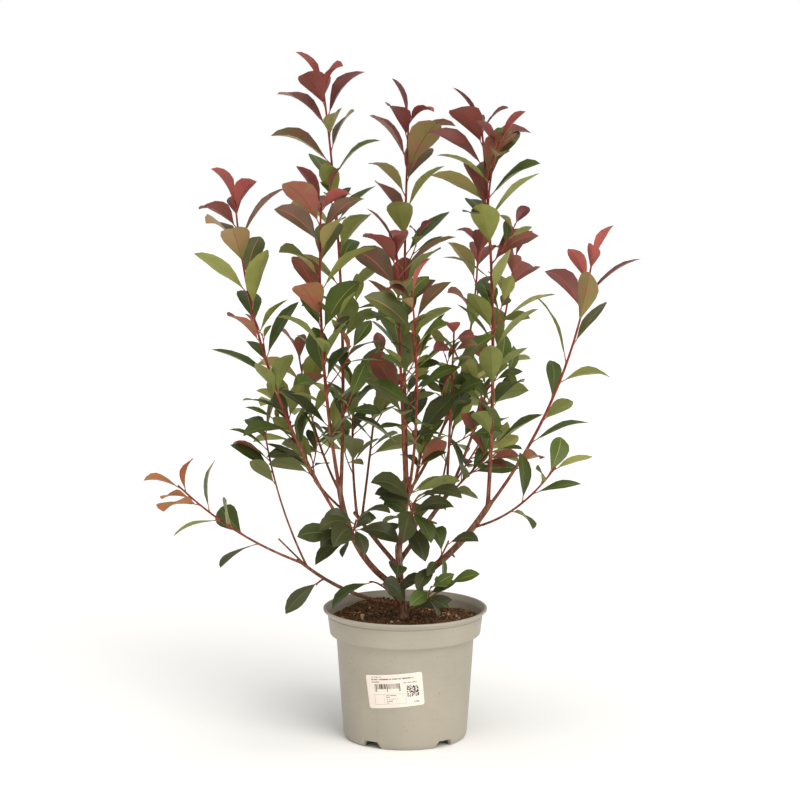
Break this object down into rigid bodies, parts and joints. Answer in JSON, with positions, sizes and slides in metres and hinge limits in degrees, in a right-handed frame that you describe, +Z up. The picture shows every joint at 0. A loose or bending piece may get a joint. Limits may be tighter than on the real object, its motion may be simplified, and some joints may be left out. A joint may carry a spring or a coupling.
{
  "type": "potted photinia shrub",
  "caption": "Young evergreen shrub in a round plastic nursery pot: upright red-tipped shoots of oval leaves on a short forking trunk.",
  "frame": {"origin": "centre of the pot's flat underside, on the surface it stands on", "axes": "+Z up along the trunk, -Y to the front with the label, +X to the right seen from the front"},
  "size_m": [0.6671, 0.4078, 0.935],
  "materials": {
    "pot_plastic": "matte moulded plastic, warm grey, lightly scuffed",
    "soil": "moist dark compost with bark chips and pale grit",
    "label_paper": "matte coated sticker with plain printed bars",
    "trunk_bark": "grey-brown bark with pale streaks",
    "bough_bark": "smooth red-brown bark with leaf scars",
    "red_bark": "smooth crimson young bark",
    "foliage": "glossy dark green to burgundy leaves, paler matte undersides"
  },
  "bodies": {
    "root": {"pot": "pot_plastic", "soil": "soil", "label": "label_paper", "trunk": "trunk_bark", "left_bough": "bough_bark", "right_bough": "bough_bark", "rear_left_bough": "bough_bark", "rear_right_bough": "bough_bark", "leader": "bough_bark", "low_left_bough": "bough_bark", "bough_left_front": "red_bark", "bough_left_tall": "red_bark", "bough_left_outer": "red_bark", "bough_left_rear": "red_bark", "bough_left_inner": "red_bark", "bough_rear_left": "red_bark", "bough_rear_left_tall": "red_bark", "bough_centre_tall": "red_bark", "bough_centre_front": "red_bark", "bough_centre_near": "red_bark", "bough_rear_right_tall": "red_bark", "bough_right_inner": "red_bark", "bough_right_rear": "red_bark", "bough_back_twig": "red_bark", "bough_right_tall": "red_bark", "bough_right_outer": "red_bark", "bough_right_low": "red_bark", "bough_low_left_tip": "red_bark", "bough_low_left_rise": "red_bark", "mass_left_front": "foliage", "mass_left_tall": "foliage", "mass_left_outer": "foliage", "mass_left_rear": "foliage", "mass_left_inner": "foliage", "mass_rear_left": "foliage", "mass_rear_left_tall": "foliage", "mass_centre_tall": "foliage", "mass_centre_front": "foliage", "mass_centre_near": "foliage", "mass_centre_short": "foliage", "mass_rear_right_tall": "foliage", "mass_right_inner": "foliage", "mass_right_rear": "foliage", "mass_rear_twig": "foliage", "mass_near_twig": "foliage", "mass_back_twig": "foliage", "mass_right_tall": "foliage", "mass_right_outer": "foliage", "mass_right_low": "foliage", "mass_low_left_tip": "foliage", "mass_low_left_rise": "foliage", "mass_basal_sprig": "foliage", "mass_spray_low_left": "foliage", "mass_spray_rim": "foliage", "mass_spray_trunk": "foliage", "mass_spray_leader": "foliage", "mass_spray_left": "foliage", "mass_spray_left_outer": "foliage", "mass_spray_rear": "foliage", "mass_spray_right": "foliage"}
  },
  "joints": []
}
